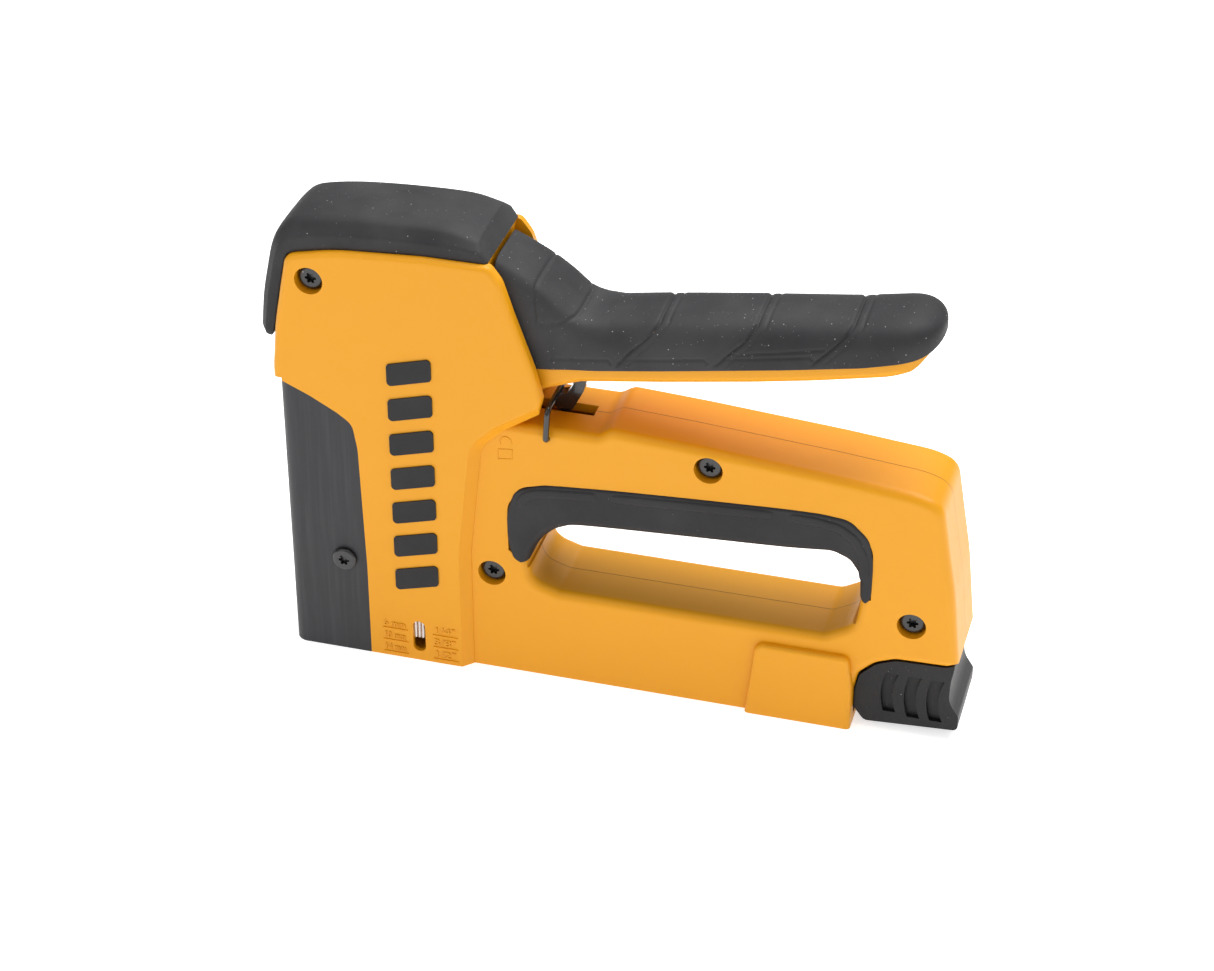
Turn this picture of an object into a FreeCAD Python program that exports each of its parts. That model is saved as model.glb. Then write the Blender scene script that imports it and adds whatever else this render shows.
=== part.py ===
import FreeCAD, Part
import math
import os

# Hand staple gun. Millimetres. X runs from the nose (0) to the rear, Y across, Z up.
# Every shape is drawn from the nose face, then moved back by ORIGIN_X, so that the
# origin ends at the middle of the base.

V = FreeCAD.Vector

# ---------------------------------------------------------------- driving dimensions
ORIGIN_X = 95.4

HEAD_HALF = 16.6          # half width of the raised head and the nose plate
MID_HALF = 13.6           # half width of the handle, neck of the body and rail bar
LABEL_HALF = 15.6         # half width of the raised block under the rear leg
CAP_HALF = 14.7
GRIP_HALF = 13.3
CORE_HALF = 11.4
KNOB_HALF = 12.4
HEAD_BAY_HALF = 13.4      # inside of the shells around the mechanism
MID_BAY_HALF = 11.0

PLATE = 1.5               # nose plate thickness
PIVOT = (66.5, 98.8)      # lever pivot, x and z
PIVOT_R = 3.0
ARM_LENGTH = 49.0         # lever pivot to lifter roller
SWING = 16.5              # lever travel in degrees
ROLLER_R = 3.0
FRAME_IN = 7.0            # lever side plates, from this to FRAME_OUT off the split plane
FRAME_OUT = 8.5
BLADE_X = (1.75, 3.05)
BLADE_HALF = 5.3
SPRING_X = 22.5           # power spring axis
SPRING_R = 6.0
SPRING_WIRE = 0.9
SPRING_TOP = 125.4
BAIL_FOOT = (77.6, 81.0)
BAIL_TOP = (78.2, 90.9)
BAIL_WIRE = 0.85
BAIL_Y = 14.7
ROD_Z = 20.3
ROD_R = 1.6
SPIGOT_R = 3.8
SCREW_HEAD_R = 3.6
SCREW_SHANK_R = 1.9
SCREWS = [(11.1, 122.2, HEAD_HALF), (123.5, 78.4, MID_HALF),
          (60.7, 32.9, MID_HALF), (182.0, 37.5, MID_HALF)]
NOSE_SCREW = (17.4, 32.2)
RUN = 0.3                 # gap between neighbours that move past each other

REST_TILT = math.radians(SWING / 2)
ROLLER = (PIVOT[0] - ARM_LENGTH * math.cos(REST_TILT),
          PIVOT[1] - ARM_LENGTH * math.sin(REST_TILT))
PLUNGER_Z = ROLLER[1] + ROLLER_R + RUN


# ---------------------------------------------------------------- helpers
def outline(points):
    """Closed wire in the XZ plane. Each point is (x, z) or (x, z, corner radius)."""
    corners = [(V(p[0], 0, p[1]), p[2] if len(p) > 2 else 0.0) for p in points]
    count = len(corners)
    legs = []
    for i, (here, radius) in enumerate(corners):
        before = corners[i - 1][0]
        after = corners[(i + 1) % count][0]
        a = (before - here).normalize()
        b = (after - here).normalize()
        angle = a.getAngle(b)
        if radius <= 0 or abs(angle - math.pi) < 1e-4:
            legs.append((here, None, here))
            continue
        room = 0.49 * min(before.distanceToPoint(here), after.distanceToPoint(here))
        reach = min(radius / math.tan(angle / 2), room)
        true_radius = reach * math.tan(angle / 2)
        centre = here + (a + b).normalize() * (true_radius / math.sin(angle / 2))
        middle = centre + (here - centre).normalize() * true_radius
        legs.append((here + a * reach, middle, here + b * reach))
    edges = []
    for i, (start, middle, end) in enumerate(legs):
        if middle is not None:
            edges.append(Part.Arc(start, middle, end).toShape())
        following = legs[(i + 1) % count][0]
        if end.distanceToPoint(following) > 1e-6:
            edges.append(Part.LineSegment(end, following).toShape())
    return Part.Wire(edges)


def slab(points, y0, y1):
    """Extrude an outline across, from y0 to y1."""
    face = Part.Face(outline(points))
    face.translate(V(0, y0, 0))
    solid = face.extrude(V(0, y1 - y0, 0))
    return solid


def both(points, half):
    return slab(points, -half, half)


def box(x0, x1, y0, y1, z0, z1):
    return Part.makeBox(x1 - x0, y1 - y0, z1 - z0, V(x0, y0, z0))


def across(x, z, radius, y0, y1):
    """Cylinder along Y."""
    return Part.makeCylinder(radius, y1 - y0, V(x, y0, z), V(0, 1, 0))


def along(y, z, radius, x0, x1):
    """Cylinder along X."""
    return Part.makeCylinder(radius, x1 - x0, V(x0, y, z), V(1, 0, 0))


def edges_at(shape, half, keep=None):
    """Edges that lie in the planes y = half and y = -half."""
    found = []
    for edge in shape.Edges:
        flat = all(abs(abs(v.Point.y) - half) < 1e-4 for v in edge.Vertexes)
        if flat and abs(abs(edge.CenterOfMass.y) - half) < 1e-4:
            if keep is None or keep(edge.CenterOfMass):
                found.append(edge)
    return found


def soften(shape, half, radius, keep=None):
    return shape.makeFillet(radius, edges_at(shape, half, keep))


def mirrored(shape):
    return shape.mirror(V(0, 0, 0), V(0, 1, 0))


def pair(shape):
    return Part.makeCompound([shape, mirrored(shape)])


def one(shape):
    """The single solid of a shape."""
    solids = shape.Solids
    return max(solids, key=lambda s: s.Volume)


def coil(radius, wire, x, z0, z1, turns):
    """Compression spring standing on Z, made as one swept solid."""
    pitch = (z1 - z0 - 2 * wire) / turns
    helix = Part.makeHelix(pitch, z1 - z0 - 2 * wire, radius)
    section = Part.Wire([Part.makeCircle(wire, V(radius, 0, 0), V(0, 1, 0))])
    spring = Part.Wire(helix.Edges).makePipeShell([section], True, True)
    spring.translate(V(x, 0, z0 + wire))
    return spring


# ---------------------------------------------------------------- housing outlines
HEAD = [(1.5, 0), (1.5, 90.0), (-1.2, 90.0), (-1.2, 93.2, 20), (0.2, 107.0, 60),
        (2.6, 119.9, 60), (4.4, 129.0, 4), (18.2, 132.1, 60), (43.5, 133.7, 60),
        (62.6, 133.7, 2.5), (65.8, 129.4, 8), (69.0, 119.5, 40), (74.6, 103.6, 20),
        (77.0, 94.4, 3), (75.6, 88.6), (65.0, 81.6, 6), (58.6, 75.4, 8), (54.7, 40.0, 60),
        (54.7, 0)]

MID = [(30, 0), (30, 83.7), (92.0, 83.7, 4), (95.6, 86.2, 4), (117.5, 85.0, 200),
       (156.4, 82.2, 200), (181.9, 79.8, 60), (188.4, 77.2, 6), (190.6, 64.0, 80),
       (193.2, 49.1, 80), (195.2, 30.0, 40), (195.6, 26.3, 0), (192.6, 25.0, 2),
       (178.0, 24.6, 8), (172.4, 22.4, 8), (167.8, 18.0, 4), (166.6, 12.0, 4), (166.6, 0)]

FINGER_HOLE = [(80.0, 29.4, 4), (157.5, 29.4, 4), (166.2, 34.2, 8), (167.4, 44.2, 4),
               (166.6, 56.0, 10), (160.0, 61.0, 8), (145.0, 56.4, 60), (119.5, 55.1, 200),
               (96.3, 53.8, 60), (84.0, 52.9, 8), (76.4, 48.0, 6), (70.6, 40.0, 3),
               (72.6, 31.8, 6)]

INSERT = [(65.8, 41.8), (65.7, 56.4, 6), (69.0, 63.4, 6), (77.0, 65.6, 12),
          (98.4, 67.3, 100), (121.2, 68.6, 100), (150.0, 70.0, 60), (163.6, 69.6, 9),
          (170.3, 61.0, 9), (170.3, 44.0), (167.5, 44.0), (166.2, 34.6), (120.0, 30.0),
          (71.0, 36.0), (70.6, 40.0), (68.6, 39.6, 1.5)]

LABEL = [(135.9, 0), (138.4, 24.3, 3), (165.2, 24.3, 2), (166.6, 14.0, 2), (166.6, 0)]

NOSE = [(0, 0), (0, 89.7), (9.4, 85.5, 30), (17.2, 81.2, 10), (21.6, 78.0, 5), (22.9, 70.0, 20),
        (24.0, 30.0, 40), (24.0, 0)]


def nose_core():
    """Inside of the nose plate."""
    core = box(PLATE, 40, -HEAD_HALF + PLATE, HEAD_HALF - PLATE, -1, 95)
    inner = [e for e in core.Edges if abs(e.CenterOfMass.x - PLATE) < 1e-4
             and abs(abs(e.CenterOfMass.y) - HEAD_HALF + PLATE) < 1e-4]
    return core.makeFillet(2.5, inner)


def nose_plate():
    """Folded steel plate around the nose, with a screw hole in each cheek."""
    block = both(NOSE, HEAD_HALF)
    front = [e for e in block.Edges if abs(e.CenterOfMass.x) < 1e-4
             and abs(abs(e.CenterOfMass.y) - HEAD_HALF) < 1e-4]
    block = block.makeFillet(4.0, front)
    plate = block.cut(nose_core())
    hole = across(NOSE_SCREW[0], NOSE_SCREW[1], SCREW_SHANK_R + 0.05, -20, 20)
    return plate.cut(hole)


def housing_outer():
    """Outside of both shells as one body, before it is hollowed and split."""
    mid = both(MID, MID_HALF).cut(both(FINGER_HOLE, MID_HALF + 1))
    mid = soften(mid, MID_HALF, 2.6, lambda c: c.x > 60 and c.z > 4)
    head = both(HEAD, HEAD_HALF)
    step = edges_at(head, HEAD_HALF, lambda c: c.x > 50 and c.z < 88.0)
    head = head.makeChamfer(2.8, step)
    rest = edges_at(head, HEAD_HALF, lambda c: c.z >= 90.5)
    head = head.makeFillet(1.6, rest)
    label = both(LABEL, LABEL_HALF)
    label = soften(label, LABEL_HALF, 1.2, lambda c: c.z > 2)
    return mid.fuse([head, label]).removeSplitter()


HEAD_BAY = [(4.2, 22), (4.2, 122), (7.0, 127.5), (60.5, 127.5), (62.0, 136), (92, 136),
            (92, 86.9), (50, 86.9), (50, 22)]
THROAT_BAY = [(40, 22), (40, 81.0), (92.5, 81.0), (97.0, 83.2, 4), (117.5, 82.2, 100),
              (156.4, 79.4, 100), (181.0, 77.2, 20), (186.0, 74.8, 4), (188.0, 63.0, 60),
              (190.4, 48.8, 60), (192.0, 31.0), (172.8, 29.0, 2), (172.8, 61.0, 8),
              (164.0, 72.4, 8), (121.0, 71.4), (77.0, 68.4, 12), (66.5, 65.0, 6),
              (63.2, 58.0, 6), (63.2, 36.0, 4), (58.0, 22)]
MAGAZINE_BAY = [(4.2, 2.4), (4.2, 26.6), (164.0, 26.6), (171.0, 20.0), (171.0, 2.4)]


def screw_boss(x, z, radius, half):
    return across(x, z, radius, -half, half)


def housing():
    """Both shells, hollow and drilled, as the left and right halves."""
    outer = housing_outer()
    bays = both(HEAD_BAY, HEAD_BAY_HALF)
    bays = bays.fuse([both(THROAT_BAY, MID_BAY_HALF), both(MAGAZINE_BAY, MID_BAY_HALF)])
    ribs = [screw_boss(11.1, 122.2, 4.2, 14), screw_boss(123.5, 78.4, 4.8, 12),
            screw_boss(60.7, 32.9, 5.4, 12), screw_boss(182.0, 37.5, 5.4, 12)]
    ribs.append(box(21, 30, -14, 14, 78, 82))
    ribs.append(box(30.2, 36, -14, 14, 124.0, 128))
    ribs.append(box(8, 15, -14, 14, 124.0, 128))
    ribs.append(box(50.5, 52.5, -14, 14, 86, 91.2))
    for x in (40.0, 60.0, 80.0, 100.0, 120.0, 140.0):
        ribs.append(box(x, x + 2, -12, -6.6, 2, 12))
        ribs.append(box(x, x + 2, 6.6, 12, 2, 12))
    for side in (-1, 1):
        y0, y1 = sorted((side * 8.0, side * 14.0))
        ribs.append(across(NOSE_SCREW[0], NOSE_SCREW[1], 4.0, y0, y1))
        y0, y1 = sorted((side * 11.4, side * 14.0))
        ribs.append(across(SCREWS[0][0], SCREWS[0][1], 5.6, y0, y1))
    bays = bays.cut(Part.makeCompound(ribs))
    body = outer.cut(bays)
    cuts = [both(NOSE, HEAD_HALF + 1).cut(nose_core()), both(INSERT, MID_HALF + 2),
            box(1.4, 5.0, -5.9, 5.9, -1, 113.5),
            box(64.0, 88.0, -2.7, 2.7, 78, 88),
            across(PIVOT[0], PIVOT[1], PIVOT_R, -15.4, 15.4),
            across(BAIL_FOOT[0], BAIL_FOOT[1], BAIL_WIRE + 0.1, -14, 14),
            along(0, ROD_Z, SPIGOT_R + 0.6, 160, 200),
            Part.makeCylinder(9.0, 2.0, V(SPRING_X, 0, SPRING_TOP + 0.1)),
            across(NOSE_SCREW[0], NOSE_SCREW[1], SCREW_SHANK_R, -20, 20)]
    for x, z, half in SCREWS:
        cuts.append(across(x, z, 4.1, -half - 1, -half + 4.4))
        cuts.append(across(x, z, SCREW_SHANK_R, -half, 9.0))
    for side in (-1, 1):
        y0, y1 = sorted((side * 10.0, side * (HEAD_HALF - 1.4)))
        cuts.append(box(34.6, 43.4, y0, y1, 2.4, 17.0))
    window = [(37.1, 3.2, 1.85), (37.1, 13.7, 1.85), (40.9, 13.7, 1.85), (40.9, 3.2, 1.85)]
    cuts.append(both(window, 18))
    for shape in inlay_shapes():
        cuts.append(shape)
    body = body.cut(Part.makeCompound(cuts))
    left = one(body.common(box(-20, 220, -30, 0, 0, 160)))
    right = one(body.common(box(-20, 220, 0, 30, 0, 160)))
    return left, right


def inlay_shapes():
    """Slanted bars let into both faces of the head, proud by 0.4."""
    bars = []
    for i in range(7):
        z = 24.0 + i * 11.4
        bar = slab([(32.6, z, 1.2), (32.6, z + 7.0, 1.2), (45.6, z + 10.6, 1.2),
                    (45.6, z + 3.6, 1.2)], -HEAD_HALF - 0.4, -HEAD_HALF + 1.0)
        bars.append(bar)
        bars.append(mirrored(bar))
    return bars


# ---------------------------------------------------------------- soft parts
CAP = [(-1.4, 100.9), (-4.6, 101.3), (-5.9, 103.6), (-4.6, 114.8, 40), (-2.5, 124.1, 40),
       (-0.8, 131.0, 20), (3.2, 138.0, 9), (18.7, 140.6, 60), (35.6, 141.8, 100), (47.8, 142.0, 60),
       (55.8, 141.2, 9), (61.6, 134.2), (61.6, 128.0), (20, 120), (10, 106), (4, 100.9)]


def top_bumper(outer):
    """Rubber cap over the head, running down its front edge."""
    cap = both(CAP, CAP_HALF)
    crown = edges_at(cap, CAP_HALF, lambda c: c.z > 134 or (c.x < 0.5 and c.z > 103.8))
    cap = cap.makeFillet(6.0, crown)
    return one(cap.cut(outer))


def finger_grip():
    """Rubber saddle around the top of the finger hole."""
    half = MID_HALF + 0.5
    saddle = both(INSERT, half).cut(both(FINGER_HOLE, MID_HALF + 2))
    rim = edges_at(saddle, half, lambda c: c.z > 62 or c.x < 66.4 or c.x > 169.9)
    saddle = saddle.makeFillet(1.0, rim)
    core = [(77.0, 72.0), (77.0, 57.6, 3), (96.0, 58.4), (119.5, 59.6), (145.0, 61.0, 20),
            (158.0, 65.4, 4), (161.5, 66.0, 2), (161.5, 74.0)]
    return one(saddle.cut(both(core, MID_BAY_HALF + 0.4)))


# ---------------------------------------------------------------- lever
GRIP_TOP = [(62.2, 133.0, 1.5), (67.0, 131.6, 10), (73.8, 128.2, 14), (79.4, 123.9, 30), (84.6, 118.6, 12), (90.4, 117.9, 14),
            (106.1, 120.7, 100), (132.1, 124.4, 200), (158.4, 127.6, 200), (177.0, 131.2, 12),
            (183.2, 130.2, 8), (184.0, 124.6), (181.8, 121.6)]
GRIP_LOW = [(176.4, 120.7, 20), (164.4, 117.3, 100), (143.9, 113.4, 200), (110.5, 107.7, 200),
            (78.0, 102.6), (67.0, 101.5, 3), (60.2, 124.0, 10)]
CORE = [(63.4, 129.4, 2), (73.0, 125.4, 14), (78.0, 120.8, 20), (83.4, 115.2, 12), (90.6, 114.7, 12),
        (106.5, 117.6, 100), (132.5, 121.3, 200), (158.8, 124.5, 200), (177.6, 127.8, 6),
        (181.8, 125.0, 3), (181.7, 121.6), (177.8, 117.2, 10), (172.0, 114.4, 40),
        (151.9, 110.0, 200), (135.4, 106.9, 200), (110.0, 102.7, 200), (86.6, 99.2),
        (82.4, 97.6, 3), (76.0, 95.2, 6), (70.5, 89.8, 8), (62.0, 89.4, 8), (56.8, 96.0, 9),
        (58.5, 116.0, 30)]


def rounded_end(reach, half, radius):
    """Upright block whose rear corners are rounded, to trim the lever's free end."""
    block = box(40, reach, -half, half, 80, 140)
    corners = [e for e in block.Edges if abs(e.CenterOfMass.x - reach) < 1e-4
               and abs(abs(e.CenterOfMass.y) - half) < 1e-4]
    return block.makeFillet(radius, corners)


def lever_core(frame, catch, rivets):
    """Stiff plastic lever: wide at its visible edge, narrower under the rubber."""
    upper = both(CORE, CORE_HALF - 0.9)
    wide = both(CORE, CORE_HALF)
    rim = edges_at(wide, CORE_HALF, lambda c: c.z < 113 + 0.08 * (c.x - 64) and c.x > 87)
    wide = wide.makeFillet(1.8, rim)
    low = [(184.5, 121.9)] + [(p[0], p[1]) for p in GRIP_LOW[:5]] + [(60, 101.5), (60, 80), (190, 80)]
    lower = wide.common(both(low, 20))
    core = upper.fuse(lower).common(rounded_end(181.9, CORE_HALF, 9.0))
    pocket = across(PIVOT[0], PIVOT[1], 9.2, -FRAME_IN, FRAME_IN)
    channel = both([(50, 85), (50, 135), (66.5, 135), (66.5, 85)], FRAME_IN)
    core = core.cut(pocket.fuse(channel))
    core = core.cut(Part.makeCompound([frame, catch, rivets]))
    return one(core.cut(across(PIVOT[0], PIVOT[1], 4.5, -20, 20)))


def lever_grip(core):
    """Rubber over the lever, cut around the core."""
    grip = both(GRIP_TOP + GRIP_LOW, GRIP_HALF)
    ridge = edges_at(grip, GRIP_HALF, lambda c: c.z > 113 + 0.08 * (c.x - 64) and c.x > 66)
    grip = grip.makeFillet(3.6, ridge)
    grip = grip.common(rounded_end(184.05, GRIP_HALF, 10.5))
    grip = grip.cut(both(CORE, CORE_HALF - 0.9))
    return one(grip.cut(core))


def lever_frame():
    """Two steel side plates from the handle core to the lifter roller."""
    px, pz = PIVOT
    rx, rz = ROLLER
    tilt = V(px - rx, 0, pz - rz).normalize()
    up = V(-tilt.z, 0, tilt.x)

    def at(s, h):
        p = V(rx, 0, rz) + tilt * s + up * h
        return p.x, p.z

    arm = [at(-2.6, 2.5) + (2.4,), at(14, 2.5) + (30,), at(38, 6.5) + (12,), (px + 6, pz + 9.6, 6),
           (100.0, 107.6, 3), (100.6, 103.0, 3), (84.0, 99.4, 10), (px + 4.5, pz - 8.0, 7),
           (px - 6, pz - 8.2, 7), at(30, -4.0) + (30,), at(14, -2.5) + (30,), at(-2.6, -2.5) + (2.4,)]
    cheek = slab(arm, FRAME_IN, FRAME_OUT)
    cheek = cheek.cut(across(px, pz, 4.5, -20, 20))
    cheek = cheek.cut(across(rx, rz, 1.5, -20, 20))
    for x, z in LEVER_RIVETS:
        cheek = cheek.cut(across(x, z, 1.6, -20, 20))
    return pair(cheek)


LEVER_RIVETS = [(91.5, 104.2), (97.2, 105.2)]
CATCH_RIVETS = [(80.6, 98.9), (86.6, 100.9)]


def catch_plate():
    """Hooked steel plate that hangs under the lever for the lock bail."""
    def polar(r, degrees):
        a = math.radians(degrees)
        return PIVOT[0] + r * math.cos(a), PIVOT[1] + r * math.sin(a)

    inner = [polar(16.7, a) for a in (-12, -20, -28, -36)]
    shape = [(78.0, 104.0, 2), (90.5, 105.0, 2), (90.5, 100.0, 1), (86.6, 97.0, 3), (84.8, 90.4, 6)]
    shape += [polar(21.0, -44) + (3,), polar(20.5, -53) + (2,), polar(15.5, -54) + (2,)]
    shape += [polar(14.6, -46) + (1,)]
    shape += [p + (8,) for p in reversed(inner)]
    shape += [(80.0, 97.2, 2)]
    plate = both(shape, 2.0)
    for x, z in CATCH_RIVETS:
        plate = plate.cut(across(x, z, 1.4, -5, 5))
    return plate


# ---------------------------------------------------------------- lock bail
def lock_bail():
    """Bent wire across the throat, with both feet turned into the shells."""
    fx, fz = BAIL_FOOT
    tx, tz = BAIL_TOP
    bend = 2.0
    rise = V(tx - fx, 0, tz - fz).normalize()
    corners = [V(fx, -11.6, fz), V(fx, -BAIL_Y, fz), V(tx, -BAIL_Y, tz),
               V(tx, BAIL_Y, tz), V(fx, BAIL_Y, fz), V(fx, 11.6, fz)]
    bends = [None, 0.9, bend, bend, 0.9, None]
    edges = []
    last = corners[0]
    for i in range(1, 5):
        here = corners[i]
        a = (corners[i - 1] - here).normalize()
        b = (corners[i + 1] - here).normalize()
        r = bends[i]
        start = here + a * r
        end = here + b * r
        centre = here + a * r + b * r
        middle = centre + (here - centre).normalize() * r
        edges.append(Part.LineSegment(last, start).toShape())
        edges.append(Part.Arc(start, middle, end).toShape())
        last = end
    edges.append(Part.LineSegment(last, corners[5]).toShape())
    path = Part.Wire(edges)
    section = Part.Wire([Part.makeCircle(BAIL_WIRE, corners[0], V(0, -1, 0))])
    wire = path.makePipeShell([section], True, True)
    return wire


# ---------------------------------------------------------------- drive train
def plunger():
    """Block that the roller lifts, with a boss for the spring and a tongue for the blade."""
    z = PLUNGER_Z
    block = box(5.5, 31.0, -6.6, 6.6, z, z + 4.0)
    tongue = box(BLADE_X[1], 6.5, -BLADE_HALF, BLADE_HALF, z - 10, z + 4.0)
    boss = Part.makeCylinder(4.8, 4.0, V(SPRING_X, 0, z + 4.0))
    body = block.fuse([tongue, boss]).removeSplitter()
    for rz in (z - 6.5, z - 0.5):
        body = body.cut(along(0, rz, 1.5, 0, 7.5))
    return body


def driver_blade():
    """Flat steel blade that drives the staple."""
    z = PLUNGER_Z
    blade = box(BLADE_X[0], BLADE_X[1], -BLADE_HALF, BLADE_HALF, 0.8, z + 3.0)
    for rz in (z - 6.5, z - 0.5):
        blade = blade.cut(along(0, rz, 1.5, 0, 4))
    return blade


def blade_rivets():
    z = PLUNGER_Z
    rivets = [along(0, rz, 1.5, BLADE_X[0], 7.1) for rz in (z - 6.5, z - 0.5)]
    return Part.makeCompound(rivets)


def magazine_channel():
    body = box(5.2, 160.0, -6.6, 6.6, 2.4, 14.8)
    body = body.cut(box(0, 165, -5.6, 5.6, 2.0, 13.8))
    body = body.cut(box(55.5, 165, -1.8, 1.8, 13, 16))
    window = [(37.1, 3.6, 1.85), (37.1, 13.4, 1.85), (40.9, 13.4, 1.85), (40.9, 3.6, 1.85)]
    return body.cut(both(window, 18))


def magazine_rail():
    body = box(5.2, 158.0, -4.4, 4.4, 2.4, 12.2)
    return body.cut(box(0, 160, -3.4, 3.4, 2.0, 11.2))


def staple_strip():
    """A part-used stick of staples, glued side by side."""
    strip = box(3.4, 56.0, -5.25, 5.25, 2.9, 12.9)
    strip = strip.cut(box(3, 57, -4.6, 4.6, 2.0, 12.3))
    for i in range(1, 40):
        x = 3.4 + i * 1.27
        for y in (-5.25, 5.25):
            strip = strip.cut(Part.makeCylinder(0.12, 12, V(x, y, 2)))
    return strip


def pusher_block():
    """Feeds the staples: straddles the rail and slides on the rod."""
    x0, x1 = 56.4, 65.4
    shoe = box(x0, x1, -5.2, 5.2, 3.0, 13.4).cut(box(x0 - 1, x1 + 1, -4.7, 4.7, 2.0, 12.5))
    neck = box(x0, x1, -1.4, 1.4, 13.0, ROD_Z)
    ring = along(0, ROD_Z, 4.0, x0, x1)
    body = shoe.fuse([neck, ring]).removeSplitter()
    return body.cut(along(0, ROD_Z, ROD_R + 0.06, x0 - 1, x1 + 1))


def pusher_spring():
    helix = coil(2.9, 0.45, 0, 65.7, 154.7, 24)
    helix.rotate(V(0, 0, 0), V(0, 1, 0), 90)
    helix.translate(V(0, 0, ROD_Z))
    return helix


KNOB = [(167.0, 6.0, 2.5), (167.0, 12.2, 3), (168.2, 17.6, 4), (172.6, 22.0, 8), (178.2, 24.2, 8),
        (192.4, 24.6, 3), (194.9, 25.8, 1.0), (193.9, 20.0, 12), (193.6, 13.0, 8), (196.7, 8.4, 1.6),
        (196.7, 3.6, 1.5), (170.0, 2.0, 2.2)]


def end_knob():
    body = both(KNOB, KNOB_HALF)
    spigot = along(0, ROD_Z, SPIGOT_R, 155.0, 176.0)
    plug = box(160.6, 170, -9.5, 9.5, 4.0, 17.5)
    body = body.fuse([spigot, plug]).removeSplitter()
    body = body.cut(along(0, ROD_Z, ROD_R, 150, 175.0))
    for x in (176.0, 182.6, 189.0):
        sweep = across(x + 20.0, 12.6, 21.6, -20, 20).cut(across(x + 20.0, 12.6, 18.2, -20, 20))
        low = 5.6 if x > 180 else 6.4
        trough = sweep.common(box(x - 3, x + 8, -20, 20, low, 19.6))
        body = body.cut(trough.cut(box(150, 210, -KNOB_HALF + 1.3, KNOB_HALF - 1.3, 0, 30)))
    return body.cut(across(163.0, ROD_Z, 1.0, -6, 6))


def screw(x, z, half):
    """Pan-head screw with a six-lobed socket, its head sunk in the near shell."""
    seat = -half + 4.4
    head = across(x, z, SCREW_HEAD_R, seat - 2.6, seat)
    rim = [e for e in head.Edges if abs(e.CenterOfMass.y - seat + 2.6) < 1e-4]
    head = head.makeFillet(0.9, rim)
    socket = across(x, z, 1.15, seat - 3.0, seat - 1.0)
    for i in range(6):
        a = math.radians(60 * i)
        lobe = across(x + 1.25 * math.cos(a), z + 1.25 * math.sin(a), 0.42, seat - 3.0, seat - 1.0)
        socket = socket.fuse(lobe)
    shank = across(x, z, SCREW_SHANK_R, seat, 8.6)
    return head.fuse(shank).cut(socket)


def nose_screw():
    x, z = NOSE_SCREW
    head = across(x, z, SCREW_HEAD_R, -HEAD_HALF - 1.4, -HEAD_HALF)
    rim = [e for e in head.Edges if abs(e.CenterOfMass.y + HEAD_HALF + 1.4) < 1e-4]
    head = head.makeFillet(0.8, rim)
    socket = across(x, z, 1.15, -HEAD_HALF - 2, -HEAD_HALF - 0.3)
    for i in range(6):
        a = math.radians(60 * i)
        lobe = across(x + 1.25 * math.cos(a), z + 1.25 * math.sin(a), 0.42,
                      -HEAD_HALF - 2, -HEAD_HALF - 0.3)
        socket = socket.fuse(lobe)
    shank = across(x, z, SCREW_SHANK_R, -HEAD_HALF, -8.4)
    return head.fuse(shank).cut(socket)


def return_spring():
    """Torsion spring around the pivot bush: one leg on a body rib, one on the lever."""
    turns = 4
    pitch = 1.7
    wire = 0.7
    radius = 6.2
    top = pitch * turns
    along_leg = V(0, 2 * math.pi * radius, pitch).normalize()
    first = V(radius, 0, 0) - along_leg * 13.0
    leg = Part.LineSegment(first, V(radius, 0, 0)).toShape()
    tail = Part.LineSegment(V(radius, 0, top), V(radius, 0, top) + along_leg * 5.0).toShape()
    path = Part.Wire([leg] + Part.makeHelix(pitch, top, radius).Edges + [tail])
    section = Part.Wire([Part.makeCircle(wire, first, along_leg)])
    body = path.makePipeShell([section], True, False)
    body.translate(V(0, 0, -pitch * turns / 2))
    body.rotate(V(0, 0, 0), V(1, 0, 0), 90)
    body.rotate(V(0, 0, 0), V(0, 1, 0), 90)
    body.translate(V(PIVOT[0], 0, PIVOT[1]))
    return body


# ---------------------------------------------------------------- export
def export(name, shape):
    solids = [s.copy() for s in shape.Solids]
    for s in solids:
        s.translate(V(-ORIGIN_X, 0, 0))
    moved = solids[0] if len(solids) == 1 else Part.makeCompound(solids)
    moved.exportStep("parts/" + name + ".step")
    b = moved.BoundBox
    print("%-18s %d solid(s) valid=%s  x %.1f..%.1f  y %.1f..%.1f  z %.1f..%.1f  %.0f mm3" % (
        name, len(solids), moved.isValid(), b.XMin, b.XMax, b.YMin, b.YMax, b.ZMin, b.ZMax,
        moved.Volume))


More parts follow.
